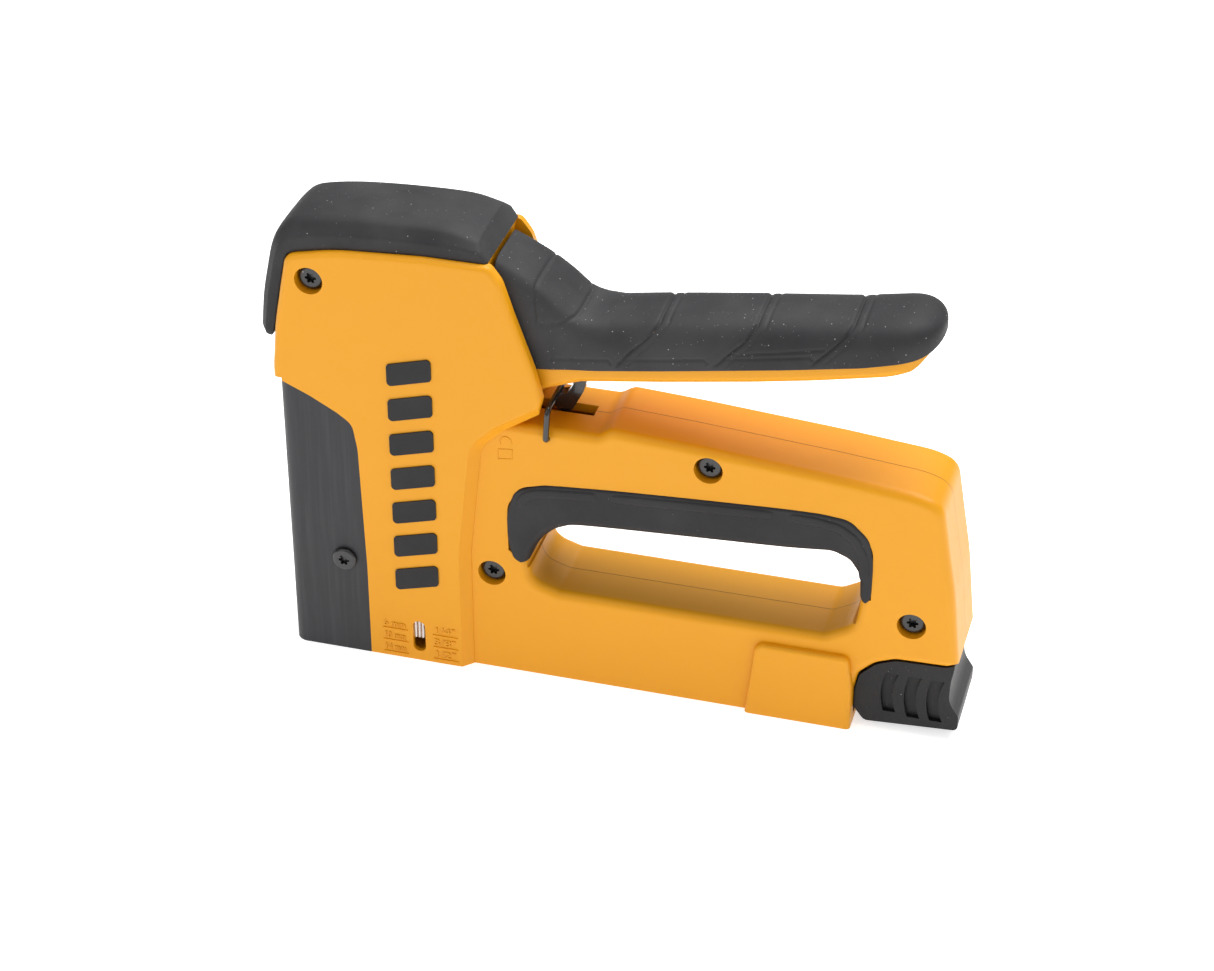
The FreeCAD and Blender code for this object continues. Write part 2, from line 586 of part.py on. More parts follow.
def main():
    os.makedirs("parts", exist_ok=True)
    outer = housing_outer()
    print("outer ok", outer.isValid())
    left, right = housing()
    export("left_housing", left)
    export("right_housing", right)
    export("nose_plate", nose_plate())
    export("top_bumper", top_bumper(outer))
    export("side_inlays", Part.makeCompound(inlay_shapes()))
    export("finger_grip", finger_grip())

    frame = lever_frame()
    catch = catch_plate()
    rivets = Part.makeCompound([across(x, z, 1.6, -9.6, 9.6) for x, z in LEVER_RIVETS])
    catch_rivets = Part.makeCompound([across(x, z, 1.4, -3.0, 3.0) for x, z in CATCH_RIVETS])
    core = lever_core(frame, catch, Part.makeCompound([rivets, catch_rivets]))
    export("lever_core", core)
    export("lever_grip", lever_grip(core))
    export("lever_frame", frame)
    export("catch_plate", catch.cut(rivets))
    export("catch_rivets", catch_rivets)
    export("lever_rivets", rivets)

    export("lock_bail", lock_bail())
    export("plunger", plunger())
    export("driver_blade", driver_blade())
    export("blade_rivets", blade_rivets())
    rx, rz = ROLLER
    roller = across(rx, rz, ROLLER_R, -6.6, 6.6).cut(across(rx, rz, 1.55, -10, 10))
    export("lifter_roller", roller)
    export("roller_pin", across(rx, rz, 1.5, -9.2, 9.2))
    px, pz = PIVOT
    bush = across(px, pz, 4.5, -FRAME_OUT, FRAME_OUT).cut(across(px, pz, PIVOT_R + 0.06, -20, 20))
    export("pivot_bush", bush)
    export("lever_pivot_pin", across(px, pz, PIVOT_R, -15.4, 15.4))
    export("return_spring", return_spring())
    export("power_spring", coil(SPRING_R, SPRING_WIRE, SPRING_X, PLUNGER_Z + 4.1, SPRING_TOP, 5))
    seat = Part.makeCylinder(9.0, 2.0, V(SPRING_X, 0, SPRING_TOP + 0.1))
    seat = seat.fuse(Part.makeCylinder(4.6, 4.0, V(SPRING_X, 0, SPRING_TOP - 3.9)))
    export("spring_seat", seat.removeSplitter())
    export("impact_bumper", box(22.0, 29.0, -6.0, 6.0, 82.0, PLUNGER_Z - 0.3))
    export("driver_guide", box(4.2, 5.1, -9.0, 9.0, 15.5, 82.0))
    export("magazine_channel", magazine_channel())
    export("magazine_rail", magazine_rail())
    export("staple_strip", staple_strip())
    export("pusher_block", pusher_block())
    export("pusher_spring", pusher_spring())
    rod_pin = across(163.0, ROD_Z, 1.0, -3.6, 3.6)
    export("pusher_rod", along(0, ROD_Z, ROD_R, 46.0, 174.9).cut(rod_pin))
    export("rod_pin", rod_pin)
    export("end_knob", end_knob())
    export("housing_screws", Part.makeCompound([screw(*s) for s in SCREWS]))
    one_nose = nose_screw()
    export("nose_screws", pair(one_nose))


main()
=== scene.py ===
"""Looks of the hand staple gun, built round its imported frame."""
import logging
import math
from dataclasses import dataclass, field
from enum import Enum
from typing import Any

import bmesh
import bpy
import numpy as np
from mathutils import Matrix, Vector


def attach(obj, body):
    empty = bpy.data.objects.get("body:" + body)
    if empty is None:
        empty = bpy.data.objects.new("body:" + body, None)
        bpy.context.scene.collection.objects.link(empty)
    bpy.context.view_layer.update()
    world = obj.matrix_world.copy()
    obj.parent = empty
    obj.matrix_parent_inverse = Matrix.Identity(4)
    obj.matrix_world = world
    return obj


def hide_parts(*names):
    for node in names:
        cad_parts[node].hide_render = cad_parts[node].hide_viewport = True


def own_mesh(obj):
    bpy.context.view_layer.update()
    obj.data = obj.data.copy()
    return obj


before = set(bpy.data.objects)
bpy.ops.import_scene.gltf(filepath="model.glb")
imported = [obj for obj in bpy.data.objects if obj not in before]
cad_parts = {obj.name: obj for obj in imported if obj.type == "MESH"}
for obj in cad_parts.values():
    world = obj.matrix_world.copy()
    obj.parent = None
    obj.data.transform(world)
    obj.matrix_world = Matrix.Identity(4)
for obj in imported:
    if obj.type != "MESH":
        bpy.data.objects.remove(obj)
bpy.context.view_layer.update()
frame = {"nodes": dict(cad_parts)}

log = logging.getLogger("staple_gun")

Points = tuple[tuple[float, float], ...]

NOSE_TO_ORIGIN = 95.4  # millimetres from the nose face back to the row's origin


def row_metres(points: np.ndarray) -> np.ndarray:
    """Turns millimetres measured from the nose face into the row's metres.

    Args:
        points: array whose last axis is x, y, z.

    Returns:
        The same array moved back by NOSE_TO_ORIGIN and divided by 1000.
    """
    return (np.asarray(points, float) - (NOSE_TO_ORIGIN, 0.0, 0.0)) / 1000.0


# ------------------------------------------------------------------ shader maths
class Ink:
    """A shader socket that takes part in Python arithmetic."""

    def __init__(self, bench: "Bench", socket: bpy.types.NodeSocket) -> None:
        """Keeps the bench and the socket."""
        self.bench = bench
        self.socket = socket

    def _math(self, operation: str, first: Any, second: Any) -> "Ink":
        """Adds one Math node and returns its result."""
        return self.bench.add("ShaderNodeMath", {"operation": operation}, {0: first, 1: second})

    def __add__(self, other: Any) -> "Ink":
        """self + other."""
        return self._math("ADD", self, other)

    def __radd__(self, other: Any) -> "Ink":
        """other + self."""
        return self._math("ADD", other, self)

    def __sub__(self, other: Any) -> "Ink":
        """self - other."""
        return self._math("SUBTRACT", self, other)

    def __rsub__(self, other: Any) -> "Ink":
        """other - self."""
        return self._math("SUBTRACT", other, self)

    def __mul__(self, other: Any) -> "Ink":
        """self * other."""
        return self._math("MULTIPLY", self, other)

    def __rmul__(self, other: Any) -> "Ink":
        """other * self."""
        return self._math("MULTIPLY", other, self)

    def __lt__(self, other: Any) -> "Ink":
        """1 where self is less than other."""
        return self._math("LESS_THAN", self, other)

    def __abs__(self) -> "Ink":
        """Absolute value."""
        return self._math("ABSOLUTE", self, 0.0)

    def span(self, low: float, high: float) -> "Ink":
        """0 below low, 1 above high, and an eased slope between.

        Args:
            low: value that gives 0.
            high: value that gives 1.

        Returns:
            The eased value.
        """
        return self.bench.add(
            "ShaderNodeMapRange",
            {"interpolation_type": "SMOOTHSTEP"},
            {"Value": self, "From Min": low, "From Max": high},
        )


class Bench:
    """One material's node tree, with a single method that adds nodes."""

    def __init__(self, name: str) -> None:
        """Makes an empty material with a Principled shader."""
        self.material = bpy.data.materials.new(name)
        self.material.use_nodes = True
        self.tree = self.material.node_tree
        self.shader = self.tree.nodes["Principled BSDF"]
        self.place = self.tree.nodes.new("ShaderNodeTexCoord").outputs["Object"]

    def add(
        self,
        kind: str,
        settings: dict[str, Any] | None = None,
        inputs: dict[Any, Any] | None = None,
        output: Any = 0,
    ) -> Ink:
        """Adds a node.

        Args:
            kind: the node's type name.
            settings: attributes, set before the sockets.
            inputs: socket names or numbers, with values, sockets or Inks.
            output: which output is returned.

        Returns:
            The chosen output as an Ink.
        """
        node = self.tree.nodes.new(kind)
        for key, value in (settings or {}).items():
            setattr(node, key, value)
        for key, value in (inputs or {}).items():
            self.feed(node.inputs[key], value)
        return Ink(self, node.outputs[output])

    def feed(self, socket: bpy.types.NodeSocket, value: Any) -> None:
        """Links a socket to an Ink or another socket, or sets its value.

        Args:
            socket: the input socket.
            value: an Ink, a socket or a plain value.
        """
        if isinstance(value, Ink):
            self.tree.links.new(value.socket, socket)
        elif isinstance(value, bpy.types.NodeSocket):
            self.tree.links.new(value, socket)
        else:
            socket.default_value = value

    def scaled(self, stretch: tuple[float, float, float]) -> Ink:
        """Object coordinates multiplied by stretch, with Vector Math."""
        return self.add(
            "ShaderNodeVectorMath", {"operation": "MULTIPLY"}, {0: self.place, 1: stretch}
        )

    def axis(self, name: str) -> Ink:
        """One Object coordinate, X, Y or Z, in metres."""
        return self.add("ShaderNodeSeparateXYZ", {}, {0: self.place}, name)

    def noise(
        self, size: float, detail: float = 2.0, stretch: tuple[float, float, float] = (1, 1, 1)
    ) -> Ink:
        """Cloudy noise from 0 to 1.

        Args:
            size: distance between blobs, in metres.
            detail: octaves.
            stretch: how much finer the blobs are along X, Y and Z.

        Returns:
            The noise value.
        """
        return self.add(
            "ShaderNodeTexNoise",
            {},
            {"Vector": self.scaled(stretch), "Scale": 1.0 / size, "Detail": detail},
        )

    def cells(self, size: float, output: str = "Distance") -> Ink:
        """Voronoi cells.

        Args:
            size: cell size in metres.
            output: Distance from the cell's point, or the cell's own Color.

        Returns:
            The chosen output.
        """
        return self.add(
            "ShaderNodeTexVoronoi",
            {},
            {"Vector": self.place, "Scale": 1.0 / size},
            output,
        )

    def specks(self, size: float, share: float, radius: float) -> Ink:
        """Small separate dots, 1 inside a dot.

        Args:
            size: cell size in metres.
            share: part of the cells that hold a dot.
            radius: dot radius as a part of the cell.

        Returns:
            The mask.
        """
        dot = 1.0 - self.cells(size).span(radius * 0.5, radius)
        pick = self.add("ShaderNodeSeparateColor", {}, {0: self.cells(size, "Color")}) < share
        return dot * pick

    def tint(self, mask: Any, first: Any, second: Any) -> Ink:
        """Mixes two colours.

        Args:
            mask: 0 for the first colour, 1 for the second.
            first: a colour, or an Ink that holds one.
            second: another.

        Returns:
            The mixed colour.
        """
        return self.add(
            "ShaderNodeMix",
            {"data_type": "RGBA"},
            {0: mask, 6: first, 7: second},
            2,
        )

    def relief(self, height: Ink, depth: float, under: Ink | None = None) -> Ink:
        """Bump from a height of 0 to 1.

        Args:
            height: the height.
            depth: what a height of 1 stands for, in metres.
            under: a bump that lies below this one.

        Returns:
            The bent normal.
        """
        inputs: dict[Any, Any] = {"Height": height, "Distance": depth, "Strength": 1.0}
        if under is not None:
            inputs["Normal"] = under
        return self.add("ShaderNodeBump", {}, inputs)

    def finish(self, **sockets: Any) -> bpy.types.Material:
        """Feeds the Principled shader.

        Args:
            **sockets: values or Inks by socket name, with _ for a space.

        Returns:
            The material.
        """
        for key, value in sockets.items():
            self.feed(self.shader.inputs[key.replace("_", " ")], value)
        return self.material


Colour = tuple[float, float, float, float]


@dataclass(frozen=True)
class ShellPlastic:
    """Satin moulded plastic of the body, with a dark line at the shells' seam."""

    name: str = "shell_plastic"
    colour: Colour = (0.80, 0.345, 0.004, 1.0)
    shade: Colour = (0.76, 0.318, 0.003, 1.0)
    roughness: float = 0.42
    seam: float = 0.00012
    seam_colour: Colour = (0.10, 0.035, 0.002, 1.0)

    def make(self) -> bpy.types.Material:
        """Builds the material: soft colour drift, spark-eroded grain and faint scuffs.

        Returns:
            The material.
        """
        bench = Bench(self.name)
        drift = bench.noise(0.03, 3.0)
        grain = bench.noise(0.00035, 2.0)
        scuff = bench.noise(0.006, 4.0, (1.0, 1.0, 3.5)).span(0.6, 0.75)
        line = 1.0 - abs(bench.axis("Y")).span(self.seam * 0.4, self.seam)
        body = bench.tint(drift, self.colour, self.shade)
        seamed = bench.tint(line * 0.8, body, self.seam_colour)
        fine = bench.relief(grain, 0.000012)
        return bench.finish(
            Base_Color=seamed,
            Roughness=self.roughness + (grain - 0.5) * 0.12 + scuff * 0.1,
            Normal=bench.relief(1.0 - line, 0.0002, fine),
            Specular_IOR_Level=0.35,
        )


@dataclass(frozen=True)
class SoftRubber:
    """Matte charcoal rubber with a little pale dust."""

    name: str
    colour: Colour = (0.022, 0.022, 0.024, 1.0)
    worn: Colour = (0.040, 0.040, 0.042, 1.0)
    roughness: float = 0.62
    dust: float = 0.10
    dust_colour: Colour = (0.55, 0.55, 0.54, 1.0)
    grain: float = 0.00003

    def make(self) -> bpy.types.Material:
        """Builds the material: leather-like grain, rubbed patches and dust specks.

        Returns:
            The material.
        """
        bench = Bench(self.name)
        rubbed = bench.noise(0.02, 4.0).span(0.35, 0.75)
        tooth = bench.noise(0.00045, 3.0)
        motes = bench.specks(0.0016, self.dust, 0.13)
        finer = bench.specks(0.0008, self.dust * 0.8, 0.15)
        base = bench.tint(rubbed, self.colour, self.worn)
        dusty = bench.tint(motes * 0.55 + finer * 0.4, base, self.dust_colour)
        return bench.finish(
            Base_Color=dusty,
            Roughness=self.roughness + (tooth - 0.5) * 0.2,
            Normal=bench.relief(tooth, self.grain),
            Specular_IOR_Level=0.3,
        )


@dataclass(frozen=True)
class BluedPlate:
    """Folded nose steel with a dark blued skin and long rub marks."""

    name: str = "blued_plate"
    colour: Colour = (0.018, 0.018, 0.021, 1.0)
    rubbed: Colour = (0.036, 0.036, 0.041, 1.0)

    def make(self) -> bpy.types.Material:
        """Builds the material: streaks that run up the plate and brighter worn spots.

        Returns:
            The material.
        """
        bench = Bench(self.name)
        streak = bench.noise(0.004, 5.0, (3.5, 3.5, 0.12)).span(0.4, 0.75)
        cloud = bench.noise(0.018, 4.0).span(0.4, 0.7)
        hair = bench.noise(0.0009, 2.0, (4.0, 4.0, 0.1))
        mix = bench.tint(streak * 0.55 + cloud * 0.35, self.colour, self.rubbed)
        return bench.finish(
            Base_Color=mix,
            Metallic=0.15,
            Roughness=0.42 + hair * 0.14 + cloud * 0.08,
            Normal=bench.relief(hair, 0.000012),
        )


class Metal(Enum):
    """The bare and coated metals, with colour, roughness and streak direction."""

    STEEL = ((0.52, 0.53, 0.55, 1.0), 0.32, (0.25, 3.0, 3.0))
    SPRING = ((0.30, 0.31, 0.33, 1.0), 0.28, (1.0, 1.0, 1.0))
    ZINC = ((0.74, 0.75, 0.77, 1.0), 0.24, (3.0, 1.0, 0.3))
    BRONZE = ((0.55, 0.36, 0.18, 1.0), 0.38, (1.0, 3.0, 1.0))
    RIVET = ((0.72, 0.73, 0.75, 1.0), 0.16, (1.0, 1.0, 1.0))


@dataclass(frozen=True)
class BareMetal:
    """Uncoated metal with drawing lines and light handling marks."""

    metal: Metal

    def make(self) -> bpy.types.Material:
        """Builds the material: fine lines along the drawn direction and dull patches.

        Returns:
            The material.
        """
        colour, rough, stretch = self.metal.value
        bench = Bench("metal_" + self.metal.name.lower())
        lines = bench.noise(0.0008, 3.0, stretch)
        patch = bench.noise(0.008, 3.0).span(0.4, 0.8)
        dull = tuple(c * 0.72 for c in colour[:3]) + (1.0,)
        return bench.finish(
            Base_Color=bench.tint(patch * 0.6, colour, dull),
            Metallic=1.0,
            Roughness=rough + (lines - 0.5) * 0.16 + patch * 0.1,
            Normal=bench.relief(lines, 0.00001),
        )


@dataclass(frozen=True)
class BlackEnamel:
    """Glossy black paint on steel, rubbed to metal in a few small chips."""

    name: str
    roughness: float = 0.14
    chips: float = 0.05
    paint: Colour = (0.008, 0.008, 0.009, 1.0)
    bare: Colour = (0.3, 0.3, 0.31, 1.0)

    def make(self) -> bpy.types.Material:
        """Builds the material: orange-peel ripple and tiny bright chips.

        Returns:
            The material.
        """
        bench = Bench(self.name)
        peel = bench.noise(0.0015, 2.0)
        chip = bench.specks(0.0024, self.chips, 0.2)
        return bench.finish(
            Base_Color=bench.tint(chip, self.paint, self.bare),
            Roughness=self.roughness + peel * 0.08 + chip * 0.2,
            Normal=bench.relief(peel, 0.00001),
            Coat_Weight=0.4,
        )


@dataclass(frozen=True)
class NylonGrey:
    """Plain grey nylon of the staple pusher."""

    name: str = "nylon_grey"
    dark: Colour = (0.42, 0.42, 0.41, 1.0)
    light: Colour = (0.52, 0.52, 0.51, 1.0)

    def make(self) -> bpy.types.Material:
        """Builds the material: faint flow marks.

        Returns:
            The material.
        """
        bench = Bench(self.name)
        flow = bench.noise(0.003, 4.0, (0.3, 2.0, 2.0))
        return bench.finish(
            Base_Color=bench.tint(flow, self.dark, self.light),
            Roughness=0.45 + flow * 0.1,
            Normal=bench.relief(flow, 0.00001),
        )


# ------------------------------------------------------------------ mesh helpers
def grid_quads(rows: int, columns: int, closed: bool) -> np.ndarray:
    """Quads between neighbours of a grid numbered row by row.

    Args:
        rows: number of rows.
        columns: points in a row.
        closed: whether the last column joins the first.

    Returns:
        An array of four indices per quad.
    """
    across = np.arange(columns if closed else columns - 1)
    along = np.arange(rows - 1)[:, None]
    after = (across + 1) % columns
    here, there = along * columns, (along + 1) * columns
    return np.stack([here + across, here + after, there + after, there + across], -1).reshape(-1, 4)


def make_piece(
    name: str, points: np.ndarray, quads: np.ndarray, body: str, finish: bpy.types.Material
) -> bpy.types.Object:
    """Puts points (millimetres from the nose) and quads into a smooth closed piece on a body.

    Args:
        name: the piece's name.
        points: array of x, y, z rows.
        quads: four indices per face.
        body: the CAD body it rides on.
        finish: its material.

    Returns:
        The new object.
    """
    mesh = bpy.data.meshes.new(name)
    mesh.from_pydata(row_metres(points).tolist(), [], quads.tolist())
    work = bmesh.new()
    work.from_mesh(mesh)
    bmesh.ops.remove_doubles(work, verts=work.verts, dist=1e-6)
    bmesh.ops.dissolve_degenerate(work, edges=work.edges, dist=1e-7)
    bmesh.ops.recalc_face_normals(work, faces=work.faces)
    work.to_mesh(mesh)
    work.free()
    mesh.shade_smooth()
    mesh.materials.append(finish)
    piece = bpy.data.objects.new(name, mesh)
    bpy.context.scene.collection.objects.link(piece)
    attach(piece, body)
    log.info("built %s with %d faces", name, len(mesh.polygons))
    return piece


def smoothed(xs: np.ndarray, line: Points, reach: float) -> np.ndarray:
    """Heights of a bent line, averaged over plus and minus reach so its corners are round.

    Args:
        xs: where the heights are wanted.
        line: the bent line's x and z corners, in order of x.
        reach: half the length that is averaged.

    Returns:
        One height for each x.
    """
    shifts = np.linspace(-reach, reach, 9)
    corners = np.asarray(line, float)
    return np.mean([np.interp(xs + s, corners[:, 0], corners[:, 1]) for s in shifts], axis=0)


def rounded_path(
    line: Points, knots: np.ndarray, at: np.ndarray, reach: float, shifts: int
) -> np.ndarray:
    """Points along a bent line whose corners are rounded by a moving average.

    Point = mean of the line's own position at (at + d), for shifts d from -reach to reach.

    Args:
        line: x and z corners.
        knots: the parameter of each corner.
        at: the parameters where points are wanted.
        reach: half the averaged stretch, in the parameter's unit.
        shifts: how many positions are averaged.

    Returns:
        x and z of each point.
    """
    corners = np.asarray(line, float)
    moved = [
        np.stack([np.interp(at + d, knots, corners[:, k]) for k in (0, 1)], -1)
        for d in np.linspace(-reach, reach, shifts)
    ]
    return np.mean(moved, axis=0)


def run_lengths(line: Points) -> np.ndarray:
    """Distance along a bent line to each of its corners."""
    return np.r_[0.0, np.cumsum(np.linalg.norm(np.diff(np.asarray(line, float), axis=0), axis=1))]


def sideways(path: np.ndarray) -> np.ndarray:
    """Unit vectors square to a path in its own plane.

    Args:
        path: x and z of points along the path.

    Returns:
        The tangent turned by 90 degrees, at each point.
    """
    tangent = np.gradient(path, axis=0)
    tangent /= np.linalg.norm(tangent, axis=1, keepdims=True)
    return np.stack([-tangent[:, 1], tangent[:, 0]], -1)


def line_distance(xs: np.ndarray, zs: np.ndarray, line: Points) -> np.ndarray:
    """Distance in the XZ plane to the nearest leg of a bent line.

    Each leg gives the distance to its nearest point, with the foot kept between its two ends.

    Args:
        xs: x of each point.
        zs: z of each point.
        line: x and z corners.

    Returns:
        The distance of each point.
    """
    best = np.full(xs.shape, np.inf)
    for (ax, az), (bx, bz) in zip(line[:-1], line[1:]):
        ux, uz = bx - ax, bz - az
        part = ((xs - ax) * ux + (zs - az) * uz) / (ux * ux + uz * uz)
        part = np.clip(part, 0.0, 1.0)
        best = np.minimum(best, np.hypot(xs - ax - part * ux, zs - az - part * uz))
    return best


@dataclass
class LeverGrip:
    """Soft sleeve over the lever: a squircle dome along a bent top line, with moulded grooves."""

    front: float = 62.6
    rear: float = 184.0
    round_from: float = 171.5
    half: float = 13.25
    neck_half: float = 12.5
    core_half: float = 10.5
    core_reach: float = 181.6
    power: float = 3.4
    neck_power: float = 6.5
    swell_from: float = 80.0
    swell_run: float = 14.0
    plan_power: float = 2.4
    tip_lift: float = 2.2
    tip_drop: float = 0.92
    tip_power: float = 2.6
    core_power: float = 14.0
    thinnest: float = 0.4
    stations: int = 400
    end_stations: int = 36
    ring: int = 100
    top_line: Points = ((60, 134.2), (67.0, 131.0), (73.8, 127.3), (79.4, 123.2), (84.0, 119.0),
                        (87.0, 118.0), (90.4, 117.95), (106.1, 120.6), (132.1, 124.3),
                        (158.4, 127.6), (177.0, 130.9), (190.0, 132.6))
    low_line: Points = ((60, 101.4), (67.0, 101.5), (78.0, 102.6), (110.5, 107.7), (143.9, 113.4),
                        (164.4, 117.3), (176.4, 120.6), (183.0, 121.9), (190, 123.0))
    core_line: Points = ((60, 129.2), (63.4, 129.0), (73.0, 125.0), (78.0, 120.4), (83.4, 115.3),
                         (90.6, 114.9), (106.5, 117.7), (132.5, 121.4), (158.8, 124.6),
                         (177.6, 127.7), (181.6, 126.0))
    grooves: tuple[Points, ...] = (
        ((97.5, 107.4), (101.1, 112.1), (105.7, 116.6), (108.0, 120.0), (108.1, 122.0)),
        ((124.1, 110.8), (127.3, 114.6), (132.2, 119.5), (134.9, 123.6), (135.1, 126.0)),
        ((150.4, 115.6), (155.4, 120.9), (159.0, 124.8), (160.7, 127.4), (160.9, 129.5)),
    )
    hump: Points = ((73.7, 130.0), (73.9, 125.8), (74.0, 121.5), (74.5, 116.3), (77.2, 116.3),
                    (80.6, 117.1), (83.7, 118.2), (86.4, 118.9))
    hems: tuple[Points, ...] = (
        ((78.5, 3.4), (94.9, 3.4), (95.8, 2.3)),
        ((97.7, 1.7), (99.6, 3.4), (121.6, 3.4), (122.5, 2.3)),
        ((124.5, 1.7), (126.6, 3.4), (150.2, 3.7), (151.0, 2.7)),
        ((129.4, 4.7), (153.9, 5.6)),
    )
    fade_from: float = 0.8
    fade_run: float = 1.5
    plain_from: float = 8.0
    groove_depth: float = 0.55
    groove_width: float = 0.34
    ramp_depth: float = 0.26
    ramp_length: float = 1.1
    second_depth: float = 0.24
    second_behind: float = 1.9
    second_width: float = 0.3
    hem_depth: float = 0.38
    hem_width: float = 0.32
    hump_depth: float = 0.42
    hump_width: float = 0.36

    def sizes(self, xs: np.ndarray) -> tuple[np.ndarray, np.ndarray, np.ndarray]:
        """Half width, low height and top height at each x.

        The half width swells from neck_half to half and ends in a squircle nose in plan; the top
        line falls to the tip on another squircle.

        Args:
            xs: distances from the nose.

        Returns:
            Half width, low and top.
        """
        run = np.clip((xs - self.round_from) / (self.rear - self.round_from), 0.0, 1.0)
        swell = np.clip((xs - self.swell_from) / self.swell_run, 0.0, 1.0)
        swell = swell * swell * (3.0 - 2.0 * swell)
        width = self.neck_half + (self.half - self.neck_half) * swell
        width = width * (1.0 - run**self.plan_power) ** (1 / self.plan_power)
        low = smoothed(xs, self.low_line, 2.0) + self.tip_lift * run**4
        top = smoothed(xs, self.top_line, 2.2)
        top = low + (top - low) * (1.0 - self.tip_drop * run**3) ** (1 / self.tip_power)
        return width, low, top

    def depth(self, xs: np.ndarray, zs: np.ndarray, over: np.ndarray) -> np.ndarray:
        """How deep the surface is let in: a sharp step line with a soft channel behind it.

        Each groove is a bell of the distance from its line plus a shallow second bell behind;
        hems and the hump's edge are bells of the distance to their bent lines.

        Args:
            xs: x of each point.
            zs: z of each point.
            over: z above the sleeve's lower edge.

        Returns:
            Depth in millimetres.
        """
        total = np.zeros(xs.shape)
        for groove in self.grooves:
            line = np.asarray(groove)
            slope = (line[2, 0] - line[0, 0]) / (line[2, 1] - line[0, 1])
            gap = (xs - np.interp(zs, line[:, 1], line[:, 0])) / math.hypot(1.0, slope)
            fade = np.clip((over - self.fade_from) / self.fade_run, 0.0, 1.0)
            step = self.groove_depth * np.exp(-((gap / self.groove_width) ** 2))
            ramp = self.ramp_depth * np.exp(-np.clip(gap, 0.0, None) / self.ramp_length) * (gap > 0)
            behind = (gap - self.second_behind) / self.second_width
            second = self.second_depth * np.exp(-(behind**2))
            total = np.maximum(total, (step + ramp + second) * fade)
        for hem in self.hems:
            away = line_distance(xs, over, hem) / self.hem_width
            total = np.maximum(total, self.hem_depth * np.exp(-(away**2)))
        away = line_distance(xs, zs, self.hump) / self.hump_width
        return np.maximum(total, self.hump_depth * np.exp(-(away**2)))

    def build(self, finish: bpy.types.Material) -> None:
        """Makes the sleeve as closed rings: an outer dome and an inner hollow for the core.

        A ring's outer half is y = w r sin t, z = low + h r cos t with r the squircle radius, for t
        from -90 to 90 degrees, let in along its normal. The inner half runs back at the core's
        width and height, and a strip closes the front mouth.

        Args:
            finish: the rubber.
        """
        straight = np.linspace(self.front, self.round_from, self.stations)
        turn = np.linspace(0.0, math.pi / 2, self.end_stations)[1:]
        xs = np.concatenate([straight, self.round_from + (self.rear - self.round_from) * np.sin(turn)])
        width, low, top = (values[:, None] for values in self.sizes(xs))
        angle = np.linspace(-math.pi / 2, math.pi / 2, self.ring)[None, :]
        ease = np.clip((xs[:, None] - self.swell_from) / self.swell_run, 0.0, 1.0)
        bend = self.neck_power + (self.power - self.neck_power) * ease
        radius = (np.abs(np.sin(angle)) ** bend + np.abs(np.cos(angle)) ** bend) ** (-1 / bend)
        outer = np.stack(
            [
                np.broadcast_to(xs[:, None], (len(xs), self.ring)),
                width * radius * np.sin(angle),
                low + (top - low) * radius * np.cos(angle),
            ],
            -1,
        )
        along = np.gradient(outer, axis=0)
        around = np.gradient(outer, axis=1)
        normal = np.cross(along, around)
        normal /= np.maximum(np.linalg.norm(normal, axis=-1, keepdims=True), 1e-9)
        centre = np.stack([xs[:, None] + 0 * angle, 0 * angle + 0 * low, (low + top) / 2 + 0 * angle], -1)
        outward = np.sign(np.sum((outer - centre) * normal, axis=-1, keepdims=True))
        let_in = self.depth(outer[..., 0], outer[..., 2], outer[..., 2] - low)
        quiet = (xs[:, None] < self.round_from + self.plain_from) * 1.0
        outer = outer - normal * outward * (let_in * quiet)[..., None]

        back = angle[:, ::-1]
        tight = np.abs(np.sin(back)) ** self.core_power + np.abs(np.cos(back)) ** self.core_power
        tight = tight ** (-1 / self.core_power)
        reach = np.minimum(xs, self.core_reach)[:, None]
        hollow = np.minimum(self.core_half, np.maximum(width - 2 * self.thinnest, 0.0))
        hollow[-1] = 0.0
        roof = smoothed(xs, self.core_line, 0.6)[:, None]
        floor = low + 0.02
        roof = np.clip(roof, floor, np.maximum(top - self.thinnest, floor))
        roof[-1] = low[-1]
        inner = np.stack(
            [
                np.broadcast_to(reach, (len(xs), self.ring)),
                hollow * tight * np.sin(back),
                low + (roof - low) * np.clip(tight * np.cos(back), 0.0, 1.0),
            ],
            -1,
        )
        rings = np.concatenate([outer, inner], axis=1)
        quads = grid_quads(len(xs), 2 * self.ring, True)
        index = np.arange(self.ring - 1)
        mouth = np.stack([index, 2 * self.ring - 1 - index, 2 * self.ring - 2 - index, index + 1], -1)
        sleeve = make_piece(
            "grip_sleeve", rings.reshape(-1, 3), np.concatenate([quads, mouth]), "lever", finish
        )
        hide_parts("lever_grip")


